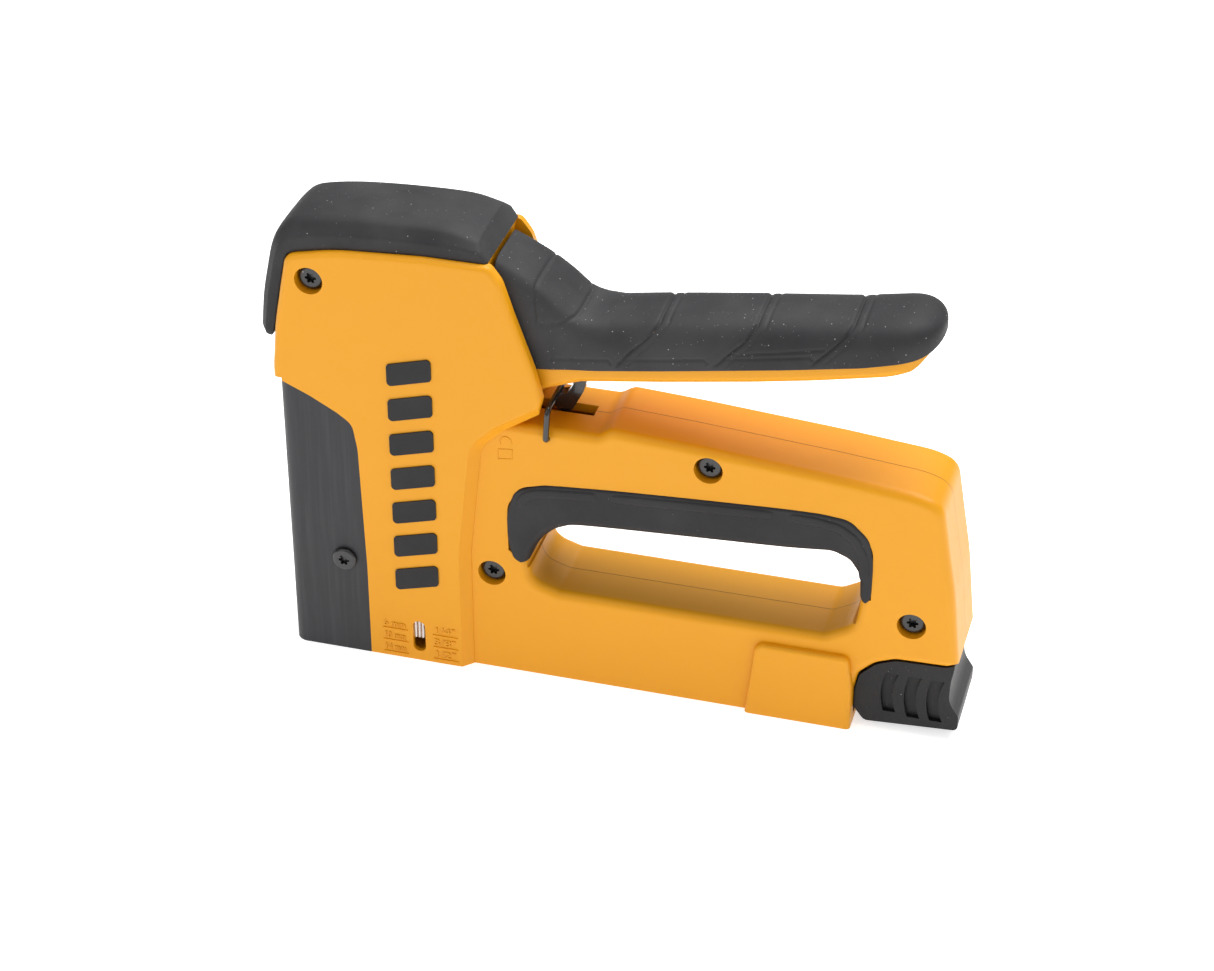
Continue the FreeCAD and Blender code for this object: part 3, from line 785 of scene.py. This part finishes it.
@dataclass
class TopCap:
    """Soft cap over the head and down its front: a crowned section carried along the head's edge."""

    half: float = 14.7
    height: float = 8.0
    stations: int = 300
    end_steps: int = 7
    seat_line: Points = ((-1.3, 100.9), (-0.2, 106.0), (1.1, 113.5), (2.3, 119.5), (3.3, 124.5),
                         (4.2, 128.4), (6.5, 129.8), (12.5, 130.9), (18.2, 132.0), (30.0, 132.8),
                         (43.5, 133.5), (53.0, 133.6), (62.0, 133.75))
    crown_line: Points = ((-5.9, 101.4), (-5.6, 106.6), (-4.8, 114.8), (-3.2, 122.4), (-1.9, 128.6),
                          (0.2, 134.0), (4.4, 138.2), (11.0, 139.7), (18.7, 140.7), (30.0, 141.5),
                          (43.5, 141.85), (51.5, 141.6), (58.0, 139.4))
    profile: Points = ((0.0, 1.0), (0.28, 1.0), (0.5, 0.992), (0.56, 0.965), (0.86, 0.83),
                       (0.955, 0.70), (0.99, 0.45), (1.0, 0.0))
    profile_steps: int = 26
    corner_reach: float = 0.035
    front_share: float = 0.05
    front_level: float = 0.3
    front_narrow: float = 1.6
    rear_push: float = 1.3
    rear_shrink: float = 0.13
    rear_way: tuple[float, float, float] = (0.93, 0.0, -0.2)

    def build(self, finish: bpy.types.Material) -> None:
        """Makes the cap: section points are seat + share (crown - seat), with y from the profile.

        The profile runs up an upright band, turns over a soft crease and rises to a shallow crown;
        its mirror closes it. The front end is drawn together on a quarter circle. The rear end is
        pushed along rear_way by rear_push sin a while it shrinks by rear_shrink (1 - cos a).

        Args:
            finish: the cap's rubber.
        """
        knots = np.linspace(0.0, 1.0, len(self.seat_line))
        at = np.linspace(0.0, 1.0, self.stations)
        seat, crown = (
            rounded_path(line, knots, at, self.corner_reach, 11)
            for line in (self.seat_line, self.crown_line)
        )
        drawn = np.clip((self.front_share - at) / self.front_share, 0.0, 1.0)[:, None]
        middle = seat * (1.0 - self.front_level) + crown * self.front_level
        keep = np.sqrt(1.0 - drawn**2)
        seat, crown = middle + (seat - middle) * keep, middle + (crown - middle) * keep

        bends = np.asarray(self.profile, float)
        rise, inward = np.diff(bends[:, 0]) * self.height, np.diff(bends[:, 1]) * self.half
        steps = np.r_[0.0, np.cumsum(np.hypot(rise, inward))]
        walk = np.linspace(0.0, steps[-1], self.profile_steps)
        share = np.interp(walk, steps, bends[:, 0])
        ys = self.half * np.interp(walk, steps, bends[:, 1])
        share = np.concatenate([share, share[-2::-1]])
        ys = np.concatenate([-ys, ys[-2::-1]])
        flat = seat[:, None, :] + (crown - seat)[:, None, :] * share[None, :, None]
        narrow = self.half - self.front_narrow * (1.0 - keep)
        wide = ys[None, :] * narrow / self.half
        points = np.stack([flat[..., 0], wide, flat[..., 1]], -1)

        last = points[-1]
        centre = last.mean(axis=0)
        turn = np.linspace(0.0, math.pi / 2, self.end_steps)[1:, None, None]
        closing = centre + (last - centre) * (1.0 - self.rear_shrink * (1.0 - np.cos(turn)))
        closing = closing + np.array(self.rear_way) * self.rear_push * np.sin(turn)
        points = np.concatenate([points, closing])
        rows, columns = points.shape[:2]
        quads = grid_quads(rows, columns, True)
        half = columns // 2
        index = np.arange(half)
        ring = (rows - 1) * columns
        lid = np.stack([ring + index, ring + index + 1, ring + columns - 2 - index,
                        ring + columns - 1 - index], -1)
        cap = make_piece("top_cap", points.reshape(-1, 3), np.concatenate([quads, lid]), "housing", finish)
        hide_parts("top_bumper")


@dataclass
class FingerSaddle:
    """Soft saddle round the top of the finger hole: a rounded bar section carried along it."""

    half: float = 14.1
    inner_round: float = 2.6
    outer_round: float = 0.9
    stations: int = 260
    corner_steps: int = 9
    corner_reach: float = 0.022
    end_share: float = 0.026
    hole_line: Points = ((71.4, 37.8), (73.4, 43.8), (76.4, 48.0), (79.6, 50.8), (84.4, 52.95),
                         (96.3, 53.8), (119.5, 55.1), (145.0, 56.5), (152.4, 57.2), (158.6, 57.9),
                         (163.6, 55.9), (166.6, 51.4), (167.25, 42.4))
    outer_line: Points = ((67.4, 38.3), (65.6, 45.4), (65.5, 54.6), (68.0, 62.4), (76.6, 65.7),
                          (96.0, 67.3), (119.5, 68.7), (145.0, 70.0), (155.5, 70.2), (163.4, 69.4),
                          (169.0, 64.0), (170.5, 57.0), (170.4, 42.4))

    def paths(self) -> tuple[np.ndarray, np.ndarray]:
        """Hole side and outer side points at each station, both rounded by a moving average.

        Near both ends the two sides draw together on a half circle, so the ends are round.

        Returns:
            Two arrays of x and z.
        """
        knots = np.linspace(0.0, 1.0, len(self.hole_line))
        at = 0.5 - 0.5 * np.cos(np.linspace(0.0, math.pi, self.stations))
        hole, outer = (
            rounded_path(line, knots, at, self.corner_reach, 9)
            for line in (self.hole_line, self.outer_line)
        )
        edge = (self.end_share - np.minimum(at, 1.0 - at)) / self.end_share
        keep = np.sqrt(1.0 - np.clip(edge, 0.0, 1.0)[:, None] ** 2)
        middle = (hole + outer) / 2
        return middle + (hole - middle) * keep, middle + (outer - middle) * keep

    def section(self, width: np.ndarray) -> tuple[np.ndarray, np.ndarray]:
        """Rounded bar section: share of the way from the hole to the outer side, and y.

        Four quarter circles join straight sides; the two on the hole side are larger.

        Args:
            width: distance from hole side to outer side at each station.

        Returns:
            Share and y, each stations by points.
        """
        width = np.maximum(width[:, None], 1e-6)
        turn = np.linspace(0.0, math.pi / 2, self.corner_steps)[None, :]
        inner = np.minimum(self.inner_round, 0.45 * width)
        outer = np.minimum(self.outer_round, 0.45 * width)
        near_in = (inner * (1 - np.cos(turn)), self.half - inner * (1 - np.sin(turn)))
        near_out = (width - outer * (1 - np.sin(turn)), self.half - outer * (1 - np.cos(turn)))
        shares = [near_in[0], near_out[0], near_out[0][:, ::-1], near_in[0][:, ::-1]]
        ys = [near_in[1], near_out[1], -near_out[1][:, ::-1], -near_in[1][:, ::-1]]
        return np.concatenate(shares, 1) / width, np.concatenate(ys, 1)

    def build(self, finish: bpy.types.Material) -> None:
        """Makes the saddle and lets it stand for the CAD one.

        Args:
            finish: the saddle's rubber.
        """
        hole, outer = self.paths()
        share, ys = self.section(np.linalg.norm(outer - hole, axis=1))
        flat = hole[:, None, :] + (outer - hole)[:, None, :] * share[..., None]
        points = np.stack([flat[..., 0], ys, flat[..., 1]], -1)
        quads = grid_quads(points.shape[0], points.shape[1], True)
        saddle = make_piece("finger_saddle", points.reshape(-1, 3), quads, "housing", finish)
        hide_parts("finger_grip")


@dataclass(frozen=True)
class Coil:
    """One helical spring and the joint that shortens it; millimetres from the nose face."""

    node: str
    body: str
    joint: str
    radius: float
    wire: float
    turns: int
    fixed: tuple[float, float, float]
    axis: tuple[float, float, float]
    length: float
    travel: float


@dataclass
class Springs:
    """The two springs that shorten: round wire on a helix, drawn away from the fixed end."""

    coils: tuple[Coil, ...] = (
        Coil("power_spring", "housing", "plunger_lift", 6.0, 0.9, 5, (22.5, 0, 125.4), (0, 0, -1),
             26.2, 14.2),
        Coil("pusher_spring", "knob", "pusher_slide", 2.9, 0.45, 24, (154.7, 0, 20.3), (-1, 0, 0),
             89.0, 65.2),
    )
    steps_per_turn: int = 30
    sides: int = 10

    def build(self, finish: bpy.types.Material) -> None:
        """Makes each coil and hides the CAD spring that it stands for.

        Centre line = fixed + axis (wire + s (length - 2 wire)) + radius (cos a, sin a) in the plane
        across the axis, with a = 2 pi turns s; the wire is a circle in the plane of the axis and
        the radius, closed to a point at both ends.

        Args:
            finish: spring steel.
        """
        for coil in self.coils:
            axis = np.array(coil.axis, float)
            across = np.array((0.0, 1.0, 0.0))
            upright = np.cross(axis, across)
            count = coil.turns * self.steps_per_turn + 1
            s = np.linspace(0.0, 1.0, count)[:, None]
            turn = 2 * math.pi * coil.turns * s
            outward = across * np.cos(turn) + upright * np.sin(turn)
            line = np.array(coil.fixed) + axis * (coil.wire + s * (coil.length - 2 * coil.wire))
            line = line + outward * coil.radius
            thick = np.full((count, 1), coil.wire)
            thick[0] = thick[-1] = 1e-6
            ring = np.linspace(0.0, 2 * math.pi, self.sides, endpoint=False)[None, :, None]
            wire = thick[:, None, :] * (outward[:, None, :] * np.cos(ring) + axis * np.sin(ring))
            points = (line[:, None, :] + wire).reshape(-1, 3)
            quads = grid_quads(count, self.sides, True)
            piece = make_piece(coil.node + "_coil", points, quads, coil.body, finish)
            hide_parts(coil.node)
            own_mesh(piece)


@dataclass
class StapleFace:
    """Row of bright staple legs behind the gauge window: a corrugated plate."""

    x_range: tuple[float, float] = (35.2, 42.8)
    z_range: tuple[float, float] = (6.6, 12.2)
    front: float = -14.9
    back: float = -14.2
    pitch: float = 0.95
    swell: float = 0.3
    columns: int = 65

    def build(self, finish: bpy.types.Material) -> None:
        """Front face y = front + swell |sin(pi x / pitch)|, closed by a flat back.

        Args:
            finish: the wire's metal.
        """
        xs = np.linspace(*self.x_range, self.columns)[:, None]
        wave = np.abs(np.sin(math.pi * (xs - self.x_range[0]) / self.pitch))
        ripple = self.front + self.swell * wave
        low, high = self.z_range
        ring = [(ripple, low), (ripple, high), (self.back + 0 * xs, high), (self.back + 0 * xs, low)]
        points = np.stack([np.concatenate([xs, y, 0 * xs + z], 1) for y, z in ring], 1)
        quads = grid_quads(self.columns, 4, True)
        last = (self.columns - 1) * 4
        ends = np.array([(0, 1, 2, 3), (last + 3, last + 2, last + 1, last)])
        plate = make_piece(
            "window_staples", points.reshape(-1, 3), np.concatenate([quads, ends]), "housing", finish
        )
        plate.data.shade_flat()


@dataclass
class SaddlePads:
    """Low raised pads on both faces of the finger saddle."""

    face: float = 14.1
    rise: float = 0.34
    half_width: float = 1.45
    lines: tuple[Points, ...] = (
        ((69.6, 57.0), (70.4, 60.4), (73.2, 62.3), (78.0, 63.2), (92.2, 64.6)),
        ((95.6, 64.8), (118.0, 66.2), (142.6, 67.6)),
        ((146.4, 67.7), (154.0, 67.6), (160.4, 66.6), (165.0, 63.6), (167.6, 58.0), (168.2, 50.0)),
    )
    sunk: float = 0.15
    corner_reach: float = 1.4
    samples: int = 90
    across: int = 15

    def build(self, finish: bpy.types.Material) -> None:
        """Makes each pad: a strip along its line whose height is the product of two soft bells.

        Height = rise (1 - |t|^4)(1 - |s|^16), with t across and s along, both from -1 to 1.

        Args:
            finish: the saddle's rubber.
        """
        points, quads, count = [], [], 0
        for line in self.lines:
            steps = run_lengths(line)
            at = np.linspace(0.0, steps[-1], self.samples)
            path = rounded_path(line, steps, at, self.corner_reach, 7)
            side = sideways(path)
            s = np.linspace(-1.0, 1.0, self.samples)[:, None]
            t = np.linspace(-1.0, 1.0, self.across)[None, :]
            width = self.half_width * (1.0 - np.abs(s) ** 16) ** 0.5
            flat = path[:, None, :] + side[:, None, :] * (t * width)[..., None]
            height = self.rise * (1.0 - np.abs(t) ** 4) * (1.0 - np.abs(s) ** 16)
            for sign in (-1.0, 1.0):
                for level in (height, np.full_like(height, -self.sunk)):
                    y = sign * (self.face + level)
                    points.append(np.stack([flat[..., 0], y, flat[..., 1]], -1).reshape(-1, 3))
                size = self.samples * self.across
                top = grid_quads(self.samples, self.across, False) + count
                quads += [top, (top + size)[:, ::-1]]
                quads.append(self.rim(count, size))
                count += 2 * size
        pads = make_piece("saddle_pads", np.concatenate(points), np.concatenate(quads), "housing", finish)

    def rim(self, first: int, size: int) -> np.ndarray:
        """Wall quads that join the edges of a pad's top and underside sheets.

        Args:
            first: number of the top sheet's first point.
            size: points in a sheet.

        Returns:
            Four indices per wall quad, once round the edge.
        """
        grid = np.arange(size).reshape(self.samples, self.across) + first
        loop = np.concatenate([grid[0, :-1], grid[:-1, -1], grid[-1, :0:-1], grid[:0:-1, 0]])
        following = np.roll(loop, -1)
        return np.stack([loop, loop + size, following + size, following], -1)


class MarkSide(Enum):
    """Which end of the gauge window a mark stands at: its left edge x in millimetres."""

    FRONT = 28.2
    BACK = 43.4


@dataclass
class GaugeMarks:
    """Raised sizes and rules beside the staple window."""

    face: float = -16.6
    rise: float = 0.3
    size: float = 3.2
    word_width: float = 6.6
    rule_width: float = 7.4
    rule_half: float = 0.13
    rule_drop: float = 0.75
    rule_lead: float = 0.2
    rows: tuple[float, ...] = (10.6, 6.4, 2.2)
    front_words: tuple[str, ...] = ("6 mm", "10 mm", "14 mm")
    back_words: tuple[str, ...] = ('1/4"', '3/8"', '1/2"')

    def flat_mesh(self, words: str, x: float, z: float) -> bpy.types.Mesh:
        """Turns a short measure into an extruded mesh standing on the near face.

        Args:
            words: the measure.
            x: its left edge.
            z: its foot.

        Returns:
            A mesh in the row's metres, word_width wide.
        """
        data = bpy.data.curves.new("gauge_text", "FONT")
        data.body = words
        data.size = self.size / 1000.0
        data.extrude = self.rise / 2000.0
        data.offset = 0.00001
        data.resolution_u = 3
        data.fill_mode = "BOTH"
        holder = bpy.data.objects.new("gauge_text", data)
        bpy.context.scene.collection.objects.link(holder)
        bpy.context.view_layer.update()
        mesh = bpy.data.meshes.new_from_object(holder)
        bpy.data.objects.remove(holder)
        places = np.empty(3 * len(mesh.vertices), np.float32)
        mesh.vertices.foreach_get("co", places)
        spread = float(places[::3].max()) * 1000.0
        place = Matrix.Translation(row_metres(np.array([x, self.face - self.rise / 2 + 0.02, z])))
        squeeze = Matrix.Scale(self.word_width / spread, 4, (1, 0, 0))
        mesh.transform(place @ Matrix.Rotation(math.pi / 2, 4, "X") @ squeeze)
        return mesh

    def rule_points(self, x: float, z: float) -> np.ndarray:
        """Corners of a thin bar under one mark.

        Args:
            x: the mark's left edge.
            z: the bar's middle height.

        Returns:
            Eight corners in the row's metres, by x, then y, then z.
        """
        ys = (self.face - self.rise, self.face + 0.05)
        ends = (x - self.rule_lead, x + self.rule_width)
        heights = (z - self.rule_half, z + self.rule_half)
        return row_metres(np.array([(a, y, h) for a in ends for y in ys for h in heights]))

    def build(self, finish: bpy.types.Material) -> None:
        """Joins all marks and rules in one piece.

        Args:
            finish: the plastic of the marks.
        """
        work = bmesh.new()
        box_faces = ((0, 1, 3, 2), (4, 6, 7, 5), (0, 4, 5, 1), (2, 3, 7, 6), (0, 2, 6, 4), (1, 5, 7, 3))
        for row, front_word, back_word in zip(self.rows, self.front_words, self.back_words):
            for side, words in ((MarkSide.FRONT, front_word), (MarkSide.BACK, back_word)):
                work.from_mesh(self.flat_mesh(words, side.value, row))
                corners = [work.verts.new(p) for p in self.rule_points(side.value, row - self.rule_drop)]
                for loop in box_faces:
                    work.faces.new([corners[i] for i in loop])
        bmesh.ops.remove_doubles(work, verts=work.verts, dist=1e-7)
        bmesh.ops.recalc_face_normals(work, faces=work.faces)
        mesh = bpy.data.meshes.new("gauge_marks")
        work.to_mesh(mesh)
        work.free()
        mesh.materials.clear()
        mesh.materials.append(finish)
        mesh.polygons.foreach_set("material_index", np.zeros(len(mesh.polygons), np.int32))
        piece = bpy.data.objects.new("gauge_marks", mesh)
        bpy.context.scene.collection.objects.link(piece)
        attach(piece, "housing")
        log.info("built gauge_marks with %d faces", len(mesh.polygons))


@dataclass
class PadlockSign:
    """Raised outline of an open padlock beside the lock bail, as round bead lines."""

    face: float = -13.6
    bead: float = 0.2
    samples: int = 60
    sides: int = 8
    body_line: Points = ((63.2, 72.0), (67.4, 72.5), (67.6, 75.7), (63.4, 75.2), (63.2, 72.0))
    shackle: Points = ((64.2, 76.6), (64.0, 78.0), (64.7, 79.3), (66.0, 79.6), (67.1, 78.9), (67.4, 77.6))

    def bead_line(self, line: Points) -> tuple[np.ndarray, np.ndarray]:
        """A round bead along a bent line: circles at each sample, square to the path.

        Args:
            line: x and z corners.

        Returns:
            Points and quads.
        """
        steps = run_lengths(line)
        path = rounded_path(line, steps, np.linspace(0.0, steps[-1], self.samples), 0.0, 1)
        side = sideways(path)
        turn = np.linspace(0, 2 * math.pi, self.sides, endpoint=False)[None, :]
        taper = np.full((self.samples, 1), self.bead)
        taper[0] = taper[-1] = 1e-6
        spread = (side[:, None, :] * (taper * np.cos(turn))[..., None]) + path[:, None, :]
        ys = self.face + taper * np.sin(turn)
        points = np.stack([spread[..., 0], ys, spread[..., 1]], -1).reshape(-1, 3)
        return points, grid_quads(self.samples, self.sides, True)

    def build(self, finish: bpy.types.Material) -> None:
        """Makes the padlock from its two bead lines.

        Args:
            finish: the body plastic.
        """
        first, first_quads = self.bead_line(self.body_line)
        second, second_quads = self.bead_line(self.shackle)
        points = np.concatenate([first, second])
        quads = np.concatenate([first_quads, second_quads + len(first)])
        sign = make_piece("padlock_sign", points, quads, "housing", finish)


# ------------------------------------------------------------------ scene pieces
@dataclass
class FrameDresser:
    """Gives every carried-over node its finish."""

    finishes: dict[str, bpy.types.Material] = field(default_factory=dict)

    def mix_finishes(self) -> None:
        """Makes each finish once."""
        makers = [
            ShellPlastic(),
            SoftRubber("bumper_rubber", dust=0.12),
            SoftRubber("grip_rubber", dust=0.2),
            SoftRubber("saddle_rubber", (0.012, 0.012, 0.014, 1), (0.022, 0.022, 0.024, 1), 0.5, 0.01),
            SoftRubber("inlay_rubber", (0.010, 0.010, 0.011, 1), (0.017, 0.017, 0.018, 1), 0.5, 0.01),
            SoftRubber("knob_skin", (0.010, 0.010, 0.011, 1), (0.020, 0.020, 0.021, 1), 0.48, 0.03),
            BluedPlate(),
            BlackEnamel("black_enamel"),
            BlackEnamel("screw_enamel", 0.3, 0.02),
            NylonGrey(),
        ] + [BareMetal(m) for m in Metal]
        for maker in makers:
            made = maker.make()
            self.finishes[made.name] = made

    def dress(self, nodes: dict[str, bpy.types.Object]) -> None:
        """Puts the right finish on each node.

        Args:
            nodes: the frame's objects by name.
        """
        plan = {
            "shell_plastic": ["left_housing", "right_housing", "lever_core"],
            "bumper_rubber": ["top_bumper", "impact_bumper"],
            "grip_rubber": ["lever_grip"],
            "saddle_rubber": ["finger_grip"],
            "inlay_rubber": ["side_inlays"],
            "knob_skin": ["end_knob"],
            "blued_plate": ["nose_plate"],
            "black_enamel": ["lock_bail", "catch_plate"],
            "screw_enamel": ["housing_screws", "nose_screws"],
            "nylon_grey": ["pusher_block"],
            "metal_steel": ["lever_pivot_pin", "spring_seat", "driver_guide", "magazine_channel",
                            "magazine_rail", "lever_frame", "roller_pin", "lifter_roller",
                            "plunger", "driver_blade", "pusher_rod", "rod_pin"],
            "metal_spring": ["return_spring", "power_spring", "pusher_spring"],
            "metal_zinc": ["staple_strip"],
            "metal_bronze": ["pivot_bush"],
            "metal_rivet": ["catch_rivets", "lever_rivets", "blade_rivets"],
        }
        for finish, names in plan.items():
            for name in names:
                data = nodes[name].data
                data.materials.clear()
                data.materials.append(self.finishes[finish])
                log.info("dressed %s in %s", name, finish)


@dataclass(frozen=True)
class Lamp:
    """A square area light: name, place and side in metres, power in watts."""

    name: str
    at: tuple[float, float, float]
    size: float
    power: float


@dataclass
class Studio:
    """Pale floor, soft lights and the camera."""

    lamps: tuple[Lamp, ...] = (
        Lamp("key", (-0.7, -0.9, 0.9), 0.9, 3.0),
        Lamp("fill", (0.9, -0.8, 0.6), 0.9, 1.4),
        Lamp("top", (0.15, 0.35, 1.1), 1.0, 16.0),
    )
    lit_point: tuple[float, float, float] = (0.0, 0.0, 0.06)
    surround: float = 0.42
    floor_half: float = 4.0
    floor_glow: float = 0.62
    sensor: float = 36.0
    lens: float = 88.9621
    azimuth: float = 15.7
    elevation: float = 33.0
    distance: float = 0.826
    target: tuple[float, float, float] = (0.0003, -0.0166, 0.0707)
    floor_z: float = 0.0

    def build(self) -> None:
        """Makes the floor, the lights, the world and the camera."""
        self.floor()
        self.lights()
        self.camera()

    def floor(self) -> None:
        """A wide flat sheet, z = floor_z everywhere."""
        side = self.floor_half
        mesh = bpy.data.meshes.new("floor")
        corners = [(-side, -side, self.floor_z), (side, -side, self.floor_z),
                   (side, side, self.floor_z), (-side, side, self.floor_z)]
        mesh.from_pydata(corners, [], [(0, 1, 2, 3)])
        sheet = bpy.data.objects.new("floor", mesh)
        bpy.context.scene.collection.objects.link(sheet)
        bench = Bench("floor_white")
        mesh.materials.append(bench.finish(Base_Color=(0.9, 0.9, 0.9, 1.0), Roughness=0.9,
                                           Emission_Color=(1, 1, 1, 1),
                                           Emission_Strength=self.floor_glow))

    def hang(self, lamp: Lamp) -> None:
        """Puts up one area light that faces the object.

        Args:
            lamp: its place, size and power.
        """
        data = bpy.data.lights.new(lamp.name, "AREA")
        data.size = lamp.size
        data.energy = lamp.power
        light = bpy.data.objects.new(lamp.name, data)
        light.location = lamp.at
        facing = Vector(self.lit_point) - Vector(lamp.at)
        light.rotation_euler = facing.to_track_quat("-Z", "Y").to_euler()
        bpy.context.scene.collection.objects.link(light)

    def lights(self) -> None:
        """Two soft sides, a top and a bright even surround."""
        for lamp in self.lamps:
            self.hang(lamp)
        world = bpy.data.worlds.new("surround")
        world.use_nodes = True
        background = world.node_tree.nodes["Background"]
        background.inputs[0].default_value = (1, 1, 1, 1)
        background.inputs[1].default_value = self.surround
        bpy.context.scene.world = world
        bpy.context.scene.view_settings.view_transform = "Standard"

    def camera(self) -> None:
        """Long lens at the given azimuth and elevation, aimed at the target."""
        data = bpy.data.cameras.new("camera")
        data.sensor_fit = "HORIZONTAL"
        data.sensor_width = self.sensor
        data.lens = self.lens
        data.clip_start = 0.01
        a, e = math.radians(self.azimuth), math.radians(self.elevation)
        back = Vector((math.sin(a) * math.cos(e), -math.cos(a) * math.cos(e), math.sin(e)))
        eye = bpy.data.objects.new("camera", data)
        eye.location = Vector(self.target) + back * self.distance
        eye.rotation_euler = (-back).to_track_quat("-Z", "Y").to_euler()
        bpy.context.scene.collection.objects.link(eye)
        bpy.context.scene.camera = eye


def main() -> None:
    """Dresses the frame, builds the pieces and sets the studio."""
    logging.basicConfig(level=logging.INFO)
    dresser = FrameDresser()
    dresser.mix_finishes()
    dresser.dress(frame["nodes"])
    LeverGrip().build(dresser.finishes["grip_rubber"])
    TopCap().build(dresser.finishes["bumper_rubber"])
    FingerSaddle().build(dresser.finishes["saddle_rubber"])
    SaddlePads().build(dresser.finishes["saddle_rubber"])
    GaugeMarks().build(dresser.finishes["shell_plastic"])
    PadlockSign().build(dresser.finishes["shell_plastic"])
    StapleFace().build(dresser.finishes["metal_zinc"])
    Springs().build(dresser.finishes["metal_spring"])
    Studio().build()


if __name__ == "__main__":
    main()
